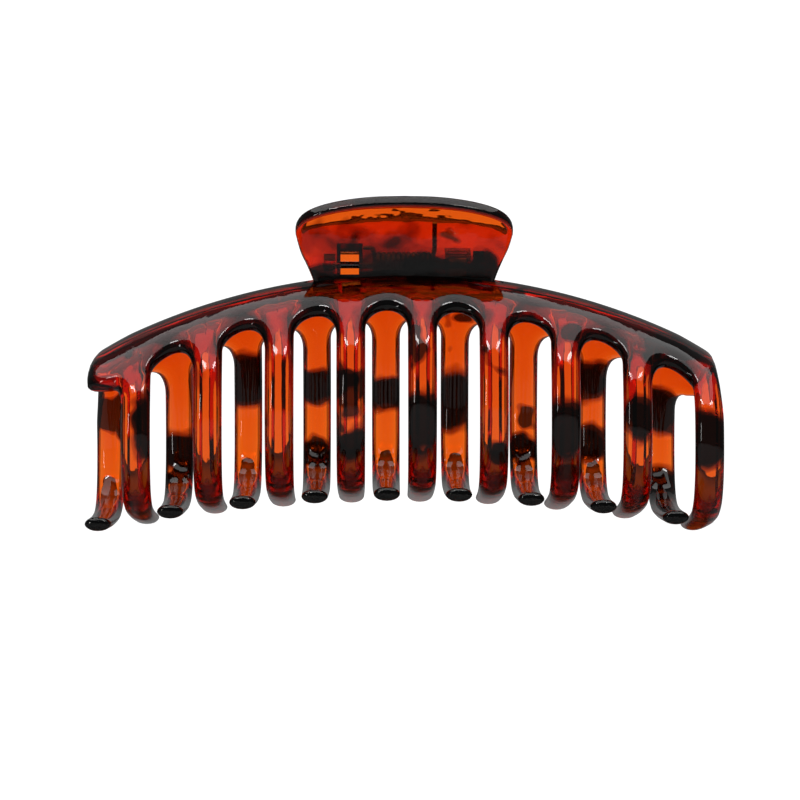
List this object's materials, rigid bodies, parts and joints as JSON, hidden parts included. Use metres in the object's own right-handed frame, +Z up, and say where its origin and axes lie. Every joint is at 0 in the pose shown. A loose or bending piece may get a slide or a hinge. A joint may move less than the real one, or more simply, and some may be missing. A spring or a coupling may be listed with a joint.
{
  "type": "claw clip",
  "caption": "Hinged hair claw clip: two arched jaws with interlocking curved teeth and thumb tabs, closed by a torsion spring on a steel pin.",
  "frame": {"origin": "on the surface the clip stands on, under the middle of the hinge pin, with the jaws closed", "axes": "+X along the hinge pin and the length of the clip, +Z up through the thumb tabs, -Y towards the front jaw's back"},
  "size_m": [0.1104, 0.0468, 0.0581],
  "materials": {
    "tortoiseshell_plastic": "polished translucent, amber with near-black blotches",
    "brushed_steel": "bright drawn wire"
  },
  "bodies": {
    "front": {"front_jaw": "tortoiseshell_plastic", "hinge_pin": "brushed_steel", "torsion_spring": "brushed_steel"},
    "rear": {"rear_jaw": "tortoiseshell_plastic"}
  },
  "joints": [
    {"name": "jaw_hinge", "type": "hinge", "parent": "front", "child": "rear", "pos_m": [0, 0, 0.0467], "axis": [1, 0, 0], "range_deg": [0, 80], "stiffness_Nm_per_rad": 0.06, "springref_deg": -68.75, "deforming": ["torsion_spring"]}
  ]
}
